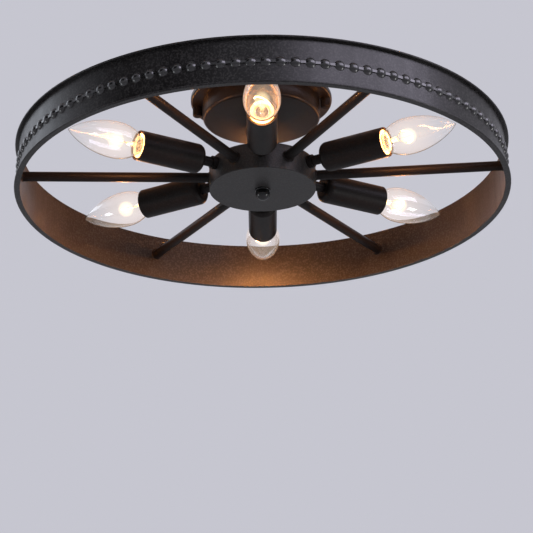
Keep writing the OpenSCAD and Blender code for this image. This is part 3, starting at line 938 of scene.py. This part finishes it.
@dataclass
class Surface:
    """Corners and faces of a mesh in the making.

    Attributes:
        points: The corners.
        faces: The faces, as corner numbers.
    """

    points: list[tuple[float, float, float]] = field(default_factory=list)
    faces: list[tuple[int, ...]] = field(default_factory=list)

    def grid(self, rows: Sequence[Sequence[Vector]], round_rings: bool = False) -> None:
        """Adds a sheet of quads through rounds of points.

        Args:
            rows: The rounds, all of one length.
            round_rings: True if the last round joins the first one.
        """
        first = len(self.points)
        width = len(rows[0])
        self.points.extend(tuple(point) for row in rows for point in row)
        for row in range(len(rows) if round_rings else len(rows) - 1):
            here = first + row * width
            there = first + (row + 1) % len(rows) * width
            for column in range(width):
                beside = (column + 1) % width
                self.faces.append((here + column, here + beside, there + beside, there + column))

    def lathe(self, outline: Sequence[Point], segments: int) -> None:
        """Turns an outline of radius and height about Z. An end on the axis is closed by a fan.

        Args:
            outline: Radius and height of each point, going so that the outside lies to its right.
            segments: Segments round the axis.
        """
        turns = around(segments)
        on_axis = 1e-7
        rings = [point for point in outline if point[0] > on_axis]
        first = len(self.points)
        self.grid([[Vector((r * math.cos(a), r * math.sin(a), z)) for a in turns] for r, z in rings])
        for end, ring, flip in ((outline[0], 0, True), (outline[-1], len(rings) - 1, False)):
            if end[0] > on_axis:
                continue
            self.points.append((0.0, 0.0, end[1]))
            centre = len(self.points) - 1
            for step in range(segments):
                pair = (first + ring * segments + step, first + ring * segments + (step + 1) % segments)
                self.faces.append((centre, pair[1], pair[0]) if flip else (centre, pair[0], pair[1]))

    def tube(self, path: Sequence[Vector], radius: float, sides: int) -> None:
        """Sweeps a round wire along a path and closes its ends.

        Args:
            path: The points of its middle.
            radius: Its radius.
            sides: Sides of its section.
        """
        rows = []
        across = Vector((0.0, 1.0, 0.0))
        for index, point in enumerate(path):
            ahead = path[min(index + 1, len(path) - 1)] - path[max(index - 1, 0)]
            ahead.normalize()
            across = (across - ahead * across.dot(ahead)).normalized()
            other = ahead.cross(across)
            turns = [math.cos(a) * across + math.sin(a) * other for a in around(sides)]
            rows.append([point + radius * turn for turn in turns])
        self.capped(rows)

    def capped(self, rows: Sequence[Sequence[Vector]]) -> None:
        """Adds a sheet through rounds of points, with a face over each end.

        Args:
            rows: The rounds, all of one length.
        """
        first = len(self.points)
        self.grid(rows)
        sides = len(rows[0])
        last = first + (len(rows) - 1) * sides
        self.faces.append(tuple(first + step for step in reversed(range(sides))))
        self.faces.append(tuple(last + step for step in range(sides)))

    def mesh(self, name: str, material: bpy.types.Material) -> bpy.types.Mesh:
        """Makes the mesh.

        Args:
            name: Its name.
            material: Its material.

        Returns:
            The new mesh.
        """
        made = bpy.data.meshes.new(name)
        made.from_pydata(self.points, [], self.faces)
        made.materials.append(material)
        return made

    def piece(self, name: str, place: Matrix, finish: Finish, smooth_angle: float = 40.0) -> bpy.types.Object:
        """Makes a piece of the light.

        Args:
            name: Its name.
            place: Where it goes in the frame.
            finish: Its finish.
            smooth_angle: Edges sharper than this, in degrees, stay sharp.

        Returns:
            The new object, with its material and slot.
        """
        mesh = self.mesh(name, finish.material())
        mesh.validate()
        mesh.shade_smooth()
        mesh.set_sharp_from_angle(angle=math.radians(smooth_angle))
        made = put(name, mesh, place)
        LOG.info("made %s with %d faces", name, len(mesh.polygons))
        return made

    def scenery(self, name: str, colour: Colour, place: Matrix, open_back: bool = False) -> bpy.types.Object:
        """Makes a plain matt piece of the studio, which is no part of the light.

        Args:
            name: Its name.
            colour: Its colour.
            place: Where it goes in the frame.
            open_back: True if it can't be seen from its back.

        Returns:
            The new object.
        """
        material = bpy.data.materials.new(name)
        graph = Graph.of(material)
        shader = graph.add("ShaderNodeBsdfDiffuse")
        graph.feed(shader.inputs["Color"], colour)
        if open_back:
            back = graph.add("ShaderNodeNewGeometry").outputs["Backfacing"]
            shader = graph.choose(back, shader, graph.add("ShaderNodeBsdfTransparent"))
        graph.feed(graph.add("ShaderNodeOutputMaterial").inputs["Surface"], shader.outputs[0])
        made = put(name, self.mesh(name, material), place)
        return made


def rectangle(width: float, depth: float) -> Surface:
    """Returns a flat rectangle about the origin, facing up."""
    corners = [(x * width / 2, y * depth / 2, 0.0) for x, y in ((-1, -1), (1, -1), (1, 1), (-1, 1))]
    return Surface(corners, [(0, 1, 2, 3)])


def stand_in(piece: bpy.types.Object, body: str, *nodes: str) -> None:
    """Lets a piece ride on a body and stand for CAD nodes."""
    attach(piece, body)
    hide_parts(*nodes)


def reach(node: str, direction: Vector) -> Point:
    """Finds how far a CAD node reaches along a direction.

    Args:
        node: The node's name.
        direction: The direction, of length 1.

    Returns:
        Its lowest and highest place along the direction, in metres.
    """
    places = [vertex.co.dot(direction) for vertex in frame["nodes"][node].data.vertices]
    return min(places), max(places)


@dataclass
class CeilingFixings:
    """The bar, screws and terminals that stay hidden in the canopy.

    Attributes:
        steel: The bar and its screws.
        rod: The rod with its washers and nuts.
    """

    steel: tuple[str, ...] = ("ceiling_bar", "earth_screw", "canopy_studs")
    rod: tuple[str, ...] = ("threaded_rod", "rod_washers", "rod_nuts")

    def build(self) -> None:
        """Dresses the fixings."""
        dress(ZINC, *self.steel, *self.rod)
        dress(IVORY, "terminal_block")
        dress(BRASS, "terminal_inserts")


@dataclass
class StemAndCanopy:
    """The stepped canopy, its cap nuts, and the stem with its collars.

    Attributes:
        stem: The nodes of the stem.
        nuts: The cap nuts.
    """

    stem: tuple[str, ...] = ("stem_tube", "stem_collar_upper", "stem_collar_lower")
    nuts: tuple[str, ...] = ("cap_nut_left", "cap_nut_right")

    def build(self) -> None:
        """Dresses canopy and stem."""
        dress(CANOPY_BLACK, "canopy")
        dress(SATIN_BLACK, *self.nuts, *self.stem)


@dataclass
class Hub:
    """The drum hub with its cover, and the glossy ball that closes it."""

    def build(self) -> None:
        """Dresses the hub and its finial."""
        dress(HUB_BLACK, "hub_body", "hub_cover")
        dress(SMOOTH_BLACK, "finial_nut")


@dataclass
class BeadedWheel:
    """The rolled rim, its row of beads and the six spokes."""

    def build(self) -> None:
        """Dresses rim, beads and spokes."""
        dress(ROLLED_BLACK, "rim_band")
        dress(SATIN_BLACK, *numbered("spoke"))
        dress(BEAD_BLACK, "bead_trim")


@dataclass
class Sockets:
    """The necks, sleeves and lampholders round the hub."""

    def build(self) -> None:
        """Dresses the sockets."""
        dress(SATIN_BLACK, "socket_necks", "neck_collars", *numbered("socket_sleeve"))
        dress(ZINC, "neck_nuts")
        dress(IVORY, *numbered("lampholder"))
        dress(BRASS, "holder_shells")


@dataclass
class CandleBulb:
    """One bulb: clear envelope, pressed stem, wires, filament and screw cap.

    Sizes are in metres along the bulb's own axis, which starts at the front of its cap.

    Attributes:
        index: The arm's number.
        wall: Wall of the envelope.
        belly_at: Where the widest place lies, as a share of the length.
        flare_power: Shape of the flare from neck to belly.
        tip_power: Shape of the ogive.
        tip_bluntness: Bluntness of its tip.
        press_at: Where the stem's press ends.
        press: Width and thickness of the press.
        stem_r: Radius of the stem.
        lead_run: How far the leads run on from the press.
        filament_half: Half the width of the filament's arch.
        filament_turn: How the filament is turned about the axis, in degrees.
        halo_r: Radius of the ball of light round the filament.
        thread_pitch: Pitch of the cap's thread.
        thread_depth: Depth of its grooves.
        contact_r: Radius of the contact at the cap's end.
        contact_h: Height of that contact.
    """

    index: int
    wall: float = 0.7 * MM
    belly_at: float = 0.335
    flare_power: float = 0.65
    tip_power: float = 2.0
    tip_bluntness: float = 0.84
    press_at: float = 14 * MM
    press: Point = (6 * MM, 2 * MM)
    stem_r: float = 2.2 * MM
    lead_run: float = 8 * MM
    filament_half: float = 8 * MM
    filament_turn: float = 65.0
    halo_r: float = 11 * MM
    thread_pitch: float = 2.82 * MM
    thread_depth: float = 0.5 * MM
    contact_r: float = 3.2 * MM
    contact_h: float = 1 * MM

    def __post_init__(self) -> None:
        """Reads the bulb's axis from its joint, and its ends and widest radius from its CAD nodes."""
        glass, cap = f"bulb_glass_{self.index}", f"bulb_cap_{self.index}"
        low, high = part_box(glass)
        middle = (Vector(low) + Vector(high)) / 2
        travel = next(joint for joint in frame["joints"] if joint["name"] == f"bulb_{self.index}_travel")
        outward = Vector(travel["axis"]).normalized()
        angle = math.atan2(outward.y, outward.x)
        self.cap_tip, self.cap_front = reach(cap, outward)
        self.tip = reach(glass, outward)[1]
        self.belly_r = (high[2] - low[2]) / 2
        cap_sides = reach(cap, Vector((-math.sin(angle), math.cos(angle), 0.0)))
        self.cap_r = (cap_sides[1] - cap_sides[0]) / 2
        self.place = (
            Matrix.Rotation(angle, 4, "Z")
            @ Matrix.Translation((self.cap_front, 0.0, middle.z))
            @ Matrix.Rotation(math.pi / 2, 4, "Y")
        )
        spin = Matrix.Rotation(math.radians(self.filament_turn), 4, "Z")
        self.stem_place = self.place @ spin
        self.arch_place = self.place @ Matrix.Translation((0.0, 0.0, self.press_at + self.lead_run)) @ spin

    def build(self) -> None:
        """Builds the bulb's pieces on their bodies."""
        self.build_envelope()
        self.build_stem()
        self.build_filament()
        self.build_leads()
        self.build_halo()
        self.build_shell()
        self.build_insulator()
        self.build_contact()

    def outline(self, neck_r: float, belly_r: float, length: float) -> list[Point]:
        """Draws the outline of the envelope, from the neck to the tip.

        Args:
            neck_r: Radius at the cap.
            belly_r: Radius at the widest place.
            length: Length from the cap to the tip.

        Returns:
            Radius and height of its points.
        """
        flare_steps = 24
        ogive_steps = 44
        points = []
        for step in range(flare_steps + 1):
            share = (step / flare_steps) ** 2
            swell = math.sin(math.pi / 2 * share) ** self.flare_power
            points.append((neck_r + (belly_r - neck_r) * swell, self.belly_at * length * share))
        for step in range(1, ogive_steps + 1):
            share = math.sin(math.pi / 2 * step / ogive_steps)
            radius = belly_r * max(0.0, 1 - share**self.tip_power) ** self.tip_bluntness
            points.append((radius, length * (self.belly_at + (1 - self.belly_at) * share)))
        points[-1] = (0.0, length)
        return points

    def build_envelope(self) -> None:
        """Builds the two faces of the clear envelope, with the skirt that sits in the cap."""
        segments = 72
        skirt = 3.5 * MM
        skirt_r = self.cap_r - 0.85 * MM
        bore_r = skirt_r - self.wall
        neck_r = self.cap_r + 0.15 * MM
        length = self.tip - self.cap_front
        outside = self.outline(neck_r, self.belly_r, length)
        inside = self.outline(neck_r - self.wall, self.belly_r - self.wall, length - 2 * self.wall)
        raised = [(radius, height + self.wall) for radius, height in reversed(inside)]
        envelope = Surface()
        envelope.lathe([(skirt_r, -skirt), (skirt_r, 0.0), *outside], segments)
        envelope.lathe([*raised, (bore_r, 0.0), (bore_r, -skirt)], segments)
        envelope.lathe([(bore_r, -skirt), (skirt_r, -skirt)], segments)
        piece = envelope.piece(f"bulb_envelope_{self.index}", self.place, CLEAR_GLASS)
        stand_in(piece, f"bulb_{self.index}", f"bulb_glass_{self.index}")

    def build_stem(self) -> None:
        """Builds the glass stem, from its flare in the cap to the flattened press."""
        sides = 32
        levels = 26
        foot = -3.2 * MM
        foot_r = self.cap_r - 1.8 * MM
        flare_end = 3.0 * MM
        flare_power = 2.2
        press_start, press_run = 0.55 * self.press_at, 0.25 * self.press_at
        rows = []
        for step in range(levels + 1):
            height = foot + (self.press_at - foot) * step / levels
            flare = max(0.0, 1 - (height - foot) / (flare_end - foot)) ** flare_power
            radius = self.stem_r + (foot_r - self.stem_r) * flare
            squeeze = min(1.0, max(0.0, (height - press_start) / press_run))
            squeeze = squeeze * squeeze * (3 - 2 * squeeze)
            wide, thin = (radius + (size / 2 - radius) * squeeze for size in self.press)
            rows.append([Vector((wide * math.cos(a), thin * math.sin(a), height)) for a in around(sides)])
        stem = Surface()
        stem.capped(rows)
        piece = stem.piece(f"bulb_stem_{self.index}", self.stem_place, STEM_GLASS, smooth_angle=60.0)
        stand_in(piece, f"bulb_{self.index}", f"bulb_glass_{self.index}")

    def build_filament(self) -> None:
        """Builds the coiled filament, bowed into an arch."""
        coil_r = 0.42 * MM
        wire_r = 0.2 * MM
        sides = 5
        turns = 58
        steps_a_turn = 10
        path = []
        for step in range(turns * steps_a_turn + 1):
            share = step / (turns * steps_a_turn)
            bow = math.pi * share
            wind = math.tau * turns * share
            out = self.filament_half + coil_r * math.cos(wind)
            path.append(Vector((-out * math.cos(bow), coil_r * math.sin(wind), out * math.sin(bow))))
        coil = Surface()
        coil.tube(path, wire_r, sides)
        glow = coil.piece(f"bulb_filament_{self.index}", self.arch_place, FILAMENT, smooth_angle=80.0)
        stand_in(glow, f"bulb_{self.index}", f"filament_{self.index}")

    def build_leads(self) -> None:
        """Builds the two leads, which hook over the filament's ends, and its support wire."""
        lead_r, lead_sides = 0.28 * MM, 8
        support_r, support_sides = 0.16 * MM, 6
        press = -self.lead_run
        foot_out, foot_in_press = 1.8 * MM, 3 * MM
        knee_out, knee_over_press = 0.5 * MM, 1.0 * MM
        head_drop, hook_rise = 0.4 * MM, 1.6 * MM
        before_knee, after_knee = 0.2, 0.3
        support_in_press, support_gap = 2 * MM, 1.0 * MM
        wires = Surface()
        for side in (-1, 1):
            foot = Vector((side * foot_out, 0.0, press - foot_in_press))
            knee = Vector((side * (foot_out + knee_out), 0.0, press + knee_over_press))
            head = Vector((side * self.filament_half, 0.0, -head_drop))
            hook = head + Vector((0.0, 0.0, hook_rise))
            bend = [knee.lerp(foot, before_knee), knee, knee.lerp(head, after_knee)]
            wires.tube([foot, *bend, head, hook], lead_r, lead_sides)
        low = Vector((0.0, 0.0, press - support_in_press))
        high = Vector((0.0, 0.0, self.filament_half - support_gap))
        wires.tube([low, high], support_r, support_sides)
        leads = wires.piece(f"bulb_leads_{self.index}", self.arch_place, LEAD_WIRE, smooth_angle=60.0)
        stand_in(leads, f"bulb_{self.index}", f"filament_{self.index}")

    def build_halo(self) -> None:
        """Builds the ball of light round the hot filament, full in the middle and faded at its outline."""
        rings = 24
        segments = 48
        middle = FILAMENT_HALO.middle
        turns = [math.pi * step / rings for step in range(rings + 1)]
        ball = Surface()
        ball.lathe([(self.halo_r * math.sin(a), middle - self.halo_r * math.cos(a)) for a in turns], segments)
        halo = ball.piece(f"bulb_halo_{self.index}", self.arch_place, FILAMENT_HALO, smooth_angle=80.0)
        stand_in(halo, f"bulb_{self.index}", f"filament_{self.index}")

    def cap_back(self) -> float:
        """Returns where the screw shell ends and the black glass shows, behind the cap's front."""
        insulator = 3 * MM
        return self.cap_tip - self.cap_front + self.contact_h + insulator

    def build_shell(self) -> None:
        """Builds the screw shell with its rolled thread."""
        collar = 4 * MM
        sheet = 0.35 * MM
        columns = 60
        levels_a_pitch = 9
        pitch, depth, back = self.thread_pitch, self.thread_depth, self.cap_back()
        edge_in = 0.9 * depth
        levels = math.ceil(-back / (pitch / levels_a_pitch))
        rows = []
        for level in range(levels + 1):
            height = back * (1 - level / levels)
            fade = min(1.0, (height - back) / pitch, max(0.0, (-collar - height) / pitch))
            drawn_in = edge_in if fade <= 0 and height < -collar else 0.0
            ring = []
            for angle in around(columns):
                wave = 0.5 + 0.5 * math.cos(math.tau * ((height - back) / pitch - angle / math.tau))
                radius = self.cap_r - depth * (1 - wave) * max(0.0, fade) - drawn_in
                ring.append(Vector((radius * math.cos(angle), radius * math.sin(angle), height)))
            rows.append(ring)
        inner_share = (self.cap_r - sheet) / self.cap_r
        inner = [[Vector((p.x * inner_share, p.y * inner_share, p.z)) for p in ring] for ring in rows]
        shell = Surface()
        shell.grid([*rows, *reversed(inner)], round_rings=True)
        piece = shell.piece(f"cap_shell_{self.index}", self.place, NICKEL, smooth_angle=60.0)
        stand_in(piece, f"bulb_{self.index}_cap", f"bulb_cap_{self.index}")

    def build_insulator(self) -> None:
        """Builds the black glass between shell and contact, with its hollow side."""
        segments = 48
        steps = 8
        hollow = 0.12
        rim = 0.2 * MM
        root_r = self.cap_r - self.thread_depth
        low, high = self.cap_tip - self.cap_front + self.contact_h, self.cap_back()
        side = []
        for step in range(steps + 1):
            share = step / steps
            dip = hollow * math.sin(math.pi * share)
            radius = self.contact_r + (root_r - self.contact_r) * (share - dip)
            side.append((radius, low + (high - low) * share))
        glass = Surface()
        glass.lathe([(0.0, low), (self.contact_r - rim, low), *side, (0.0, high)], segments)
        piece = glass.piece(f"cap_insulator_{self.index}", self.place, CAP_GLASS)
        stand_in(piece, f"bulb_{self.index}_cap", f"bulb_cap_{self.index}")

    def build_contact(self) -> None:
        """Builds the domed contact at the cap's end."""
        segments = 40
        dome_h = 0.5 * MM
        edge_h = 0.6 * MM
        shares = (0.0, 0.25, 0.5, 0.75, 0.95)
        low = self.cap_tip - self.cap_front
        top = low + self.contact_h
        dome = [(self.contact_r * share, low + dome_h * share * share) for share in shares]
        contact = Surface()
        contact.lathe([*dome, (self.contact_r, low + edge_h), (self.contact_r, top), (0.0, top)], segments)
        piece = contact.piece(f"cap_contact_{self.index}", self.place, SOLDER)
        stand_in(piece, f"bulb_{self.index}_cap", f"bulb_cap_{self.index}")


@dataclass
class WarmGlow:
    """The light that the filaments give, as a soft lamp in each bulb.

    Attributes:
        power: Power of each lamp, in watts.
        colour: Its colour.
        radius: Radius of the lamp, in metres.
        ahead: Where it lies along the bulb, from the front of the cap.
    """

    power: float = 0.58
    colour: Colour = (1.0, 0.36, 0.1)
    radius: float = 5 * MM
    ahead: float = 29.5 * MM

    def build(self, bulb: CandleBulb) -> None:
        """Puts the lamp in a bulb, to move with it.

        Args:
            bulb: The bulb.
        """
        name = f"glow_{bulb.index}"
        data = bpy.data.lights.new(name, "POINT")
        data.energy = self.power
        data.color = self.colour
        data.shadow_soft_size = self.radius
        lamp = put(name, data, bulb.place @ Matrix.Translation((0.0, 0.0, self.ahead)))
        lamp.visible_camera = False
        lamp.visible_transmission = False
        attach(lamp, f"bulb_{bulb.index}")


@dataclass
class PhotoCamera:
    """The camera of the photograph, in the object's frame.

    Attributes:
        position: Where it stands, in metres.
        heading: Its direction on plan, in degrees clockwise from +Y.
        climb: How far it looks up, in degrees.
        roll: Its roll, in degrees.
        focal_px: Its focal length in pixels of the photograph.
        sensor: Width of its sensor, in millimetres.
        clip: The nearest and farthest distance that it sees, in metres.
    """

    position: tuple[float, float, float] = (0.2474, -2.0153, -1.0299)
    heading: float = -6.9243
    climb: float = 22.559
    roll: float = -0.9074
    focal_px: float = 2206.22
    sensor: float = 36.0
    clip: Point = (0.05, 40.0)

    def build(self) -> None:
        """Makes the camera and sets it."""
        heading, climb, roll = (math.radians(angle) for angle in (self.heading, self.climb, self.roll))
        level = Vector((math.cos(heading), -math.sin(heading), 0.0))
        ahead = Vector((math.sin(heading), math.cos(heading), 0.0))
        forward = ahead * math.cos(climb) + Vector((0.0, 0.0, math.sin(climb)))
        upright = level.cross(forward)
        right = level * math.cos(roll) + upright * math.sin(roll)
        up = upright * math.cos(roll) - level * math.sin(roll)
        data = bpy.data.cameras.new("photo_camera")
        data.sensor_width = self.sensor
        data.lens = self.focal_px * self.sensor / PHOTO_SIDE
        data.clip_start, data.clip_end = self.clip
        turn = Matrix((right, up, -forward)).transposed().to_4x4()
        bpy.context.scene.camera = put("photo_camera", data, Matrix.Translation(self.position) @ turn)


@dataclass
class Spot:
    """A place round the object that faces it.

    Attributes:
        bearing: Its direction on plan from the object, in degrees clockwise from the camera's side
            to its left.
        height: Its height above the object's middle, in metres.
        distance: Its distance on plan, in metres.
    """

    bearing: float
    height: float
    distance: float

    def place(self, target: Vector) -> Matrix:
        """Turns the spot into a place in the frame.

        Args:
            target: The object's middle.

        Returns:
            The place of a thing that hangs there and faces the object.
        """
        angle = math.radians(self.bearing)
        offset = Vector((-math.sin(angle) * self.distance, -math.cos(angle) * self.distance, self.height))
        turn = (-offset).to_track_quat("-Z", "Y").to_matrix().to_4x4()
        return Matrix.Translation(target + offset) @ turn


@dataclass
class SoftBox:
    """One soft lamp of the studio.

    Attributes:
        name: Its name.
        spot: Where it hangs.
        size: Its width and height, in metres.
        power: Its power, in watts.
        colour: Its colour.
    """

    name: str
    spot: Spot
    size: Point
    power: float
    colour: Colour

    def build(self, target: Vector) -> None:
        """Hangs the lamp so that it faces the object.

        Args:
            target: The object's middle.
        """
        data = bpy.data.lights.new(self.name, "AREA")
        data.shape = "RECTANGLE"
        data.size, data.size_y = self.size
        data.energy = self.power
        data.color = self.colour
        put(self.name, data, self.spot.place(target))


LAMPS = (
    SoftBox("right_ceiling", Spot(-55.0, 0.85, 1.7), (2.2, 1.0), 31.0, (0.86, 0.81, 1.0)),
    SoftBox("right_low_window", Spot(-85.0, -0.9, 1.7), (0.45, 0.5), 6.0, (1.0, 1.0, 1.0)),
    SoftBox("left_low_window", Spot(78.0, -0.8, 1.9), (0.4, 0.5), 4.0, (0.92, 0.96, 1.0)),
    SoftBox("left_back_window", Spot(112.0, 0.85, 1.9), (1.1, 1.0), 5.0, (0.84, 0.91, 1.0)),
)


@dataclass
class Studio:
    """A plain pale room: backdrop, floor, soft lamps, and what the gloss mirrors.

    Attributes:
        backdrop: What the camera, glass and gloss see round the object.
        fill: The world's light on the object.
        fill_strength: How bright that light is.
        floor_colour: The floor's colour.
        floor_drop: How far the floor lies below the object, in metres.
        floor_side: The floor's side, in metres.
        card_colour: Colour of the ring card over the object, which stands in for the ceiling by it.
        card_radii: The card's inner and outer radius, in metres. The canopy looks up through its hole.
        card_gap: How far it lies over the object, in metres.
        flag_spot: Where the black flag hangs that the gloss mirrors.
        flag_size: The flag's width and height, in metres.
        flag_colour: The flag's colour.
    """

    backdrop: Colour = (0.565, 0.565, 0.63)
    fill: Colour = (0.95, 0.97, 1.0)
    fill_strength: float = 0.5
    floor_colour: Colour = (0.70, 0.70, 0.72)
    floor_drop: float = 1.15
    floor_side: float = 14.0
    card_colour: Colour = (0.25, 0.25, 0.25)
    card_radii: Point = (0.085, 0.27)
    card_gap: float = 2 * MM
    flag_spot: Spot = field(default_factory=lambda: Spot(42.0, 1.2, 2.2))
    flag_size: Point = (2.3, 1.7)
    flag_colour: Colour = (0.01, 0.01, 0.01)

    def build(self) -> None:
        """Builds world, floor, card, flag and lamps round the object."""
        low, high = CAD_BOX
        middle = (Vector(low) + Vector(high)) / 2
        self.build_world()
        self.build_floor(low[2] - self.floor_drop)
        self.build_card(high[2] + self.card_gap)
        self.build_flag(middle)
        for lamp in LAMPS:
            lamp.build(middle)

    def build_world(self) -> None:
        """Builds the world, pale where it is seen and softer where it lights."""
        world = bpy.data.worlds.new("studio_world")
        graph = Graph.of(world)
        lit, seen = graph.add("ShaderNodeBackground"), graph.add("ShaderNodeBackground")
        graph.feed(lit.inputs["Color"], self.fill)
        graph.feed(lit.inputs["Strength"], self.fill_strength)
        graph.feed(seen.inputs["Color"], self.backdrop)
        rays = graph.add("ShaderNodeLightPath")
        shown = graph.calc("MAXIMUM", rays.outputs["Is Camera Ray"], rays.outputs["Is Transmission Ray"])
        shown = graph.calc("MAXIMUM", shown, rays.outputs["Is Glossy Ray"])
        leave = graph.add("ShaderNodeOutputWorld")
        graph.feed(leave.inputs["Surface"], graph.choose(shown, lit, seen).outputs[0])
        bpy.context.scene.world = world

    def build_floor(self, height: float) -> None:
        """Builds the floor, which can't be seen from below.

        Args:
            height: Its height.
        """
        sheet = rectangle(self.floor_side, self.floor_side)
        place = Matrix.Translation((0.0, 0.0, height))
        sheet.scenery("studio_floor", self.floor_colour, place, open_back=True)

    def build_card(self, height: float) -> None:
        """Builds the card, which gloss can see and which keeps the lamps off the wheel's inside.

        Args:
            height: Its height.
        """
        sides = 64
        turns = around(sides)
        ring = Surface()
        ring.grid([[Vector((r * math.cos(a), r * math.sin(a), 0.0)) for a in turns] for r in self.card_radii])
        card = ring.scenery("studio_card", self.card_colour, Matrix.Translation((0.0, 0.0, height)))
        card.visible_camera = False
        card.visible_transmission = False
        card.visible_diffuse = False

    def build_flag(self, target: Vector) -> None:
        """Builds the black flag, the dark side of the room that only gloss can see.

        Args:
            target: The object's middle.
        """
        sheet = rectangle(*self.flag_size)
        flag = sheet.scenery("studio_flag", self.flag_colour, self.flag_spot.place(target))
        flag.visible_camera = False
        flag.visible_transmission = False
        flag.visible_diffuse = False
        flag.visible_shadow = False


def main() -> None:
    """Builds camera, studio and every sub-assembly in order."""
    logging.basicConfig(level=logging.INFO, format="%(name)s: %(message)s")
    bpy.context.scene.view_settings.view_transform = "Standard"
    PhotoCamera().build()
    Studio().build()
    for assembly in (CeilingFixings(), StemAndCanopy(), Hub(), BeadedWheel(), Sockets()):
        assembly.build()
    glow = WarmGlow()
    for index in range(1, ARM_COUNT + 1):
        bulb = CandleBulb(index)
        bulb.build()
        glow.build(bulb)


if __name__ == "__main__":
    main()
